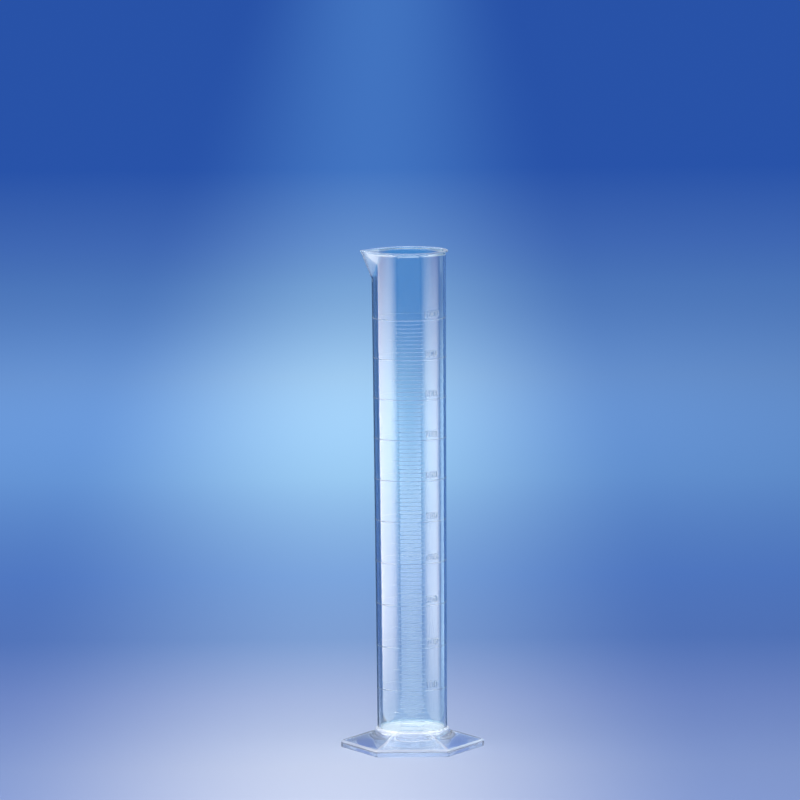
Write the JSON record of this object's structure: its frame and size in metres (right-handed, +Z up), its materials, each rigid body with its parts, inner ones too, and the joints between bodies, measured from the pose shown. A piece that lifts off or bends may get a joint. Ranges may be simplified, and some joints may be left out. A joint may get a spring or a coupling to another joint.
{
  "type": "graduated cylinder",
  "caption": "Tall clear plastic measuring cylinder with a tapered barrel, pouring lip, raised ring marks and a hollow hexagonal foot.",
  "frame": {"origin": "on the barrel's axis, in the plane that the foot stands on, which is the bottom centre of the bounding box", "axes": "+Z up the barrel, the pouring lip towards -X, the scale facing -Y, flats of the hexagonal foot facing -Y and +Y"},
  "size_m": [0.1264, 0.11, 0.44],
  "materials": {
    "clear_barrel": "polished clear, colourless moulded plastic",
    "clear_foot": "polished clear, colourless moulded plastic",
    "joint_cement": "clear cured solvent cement, slightly whitish",
    "raised_scale": "clear plastic relief with a faint frosted crest"
  },
  "bodies": {
    "root": {"barrel": "clear_barrel", "foot": "clear_foot", "base_joint": "joint_cement", "ring_mark_100ml": "raised_scale", "ring_mark_200ml": "raised_scale", "ring_mark_300ml": "raised_scale", "ring_mark_400ml": "raised_scale", "ring_mark_500ml": "raised_scale", "ring_mark_600ml": "raised_scale", "ring_mark_700ml": "raised_scale", "ring_mark_800ml": "raised_scale", "ring_mark_900ml": "raised_scale", "ring_mark_1000ml": "raised_scale"}
  },
  "joints": []
}
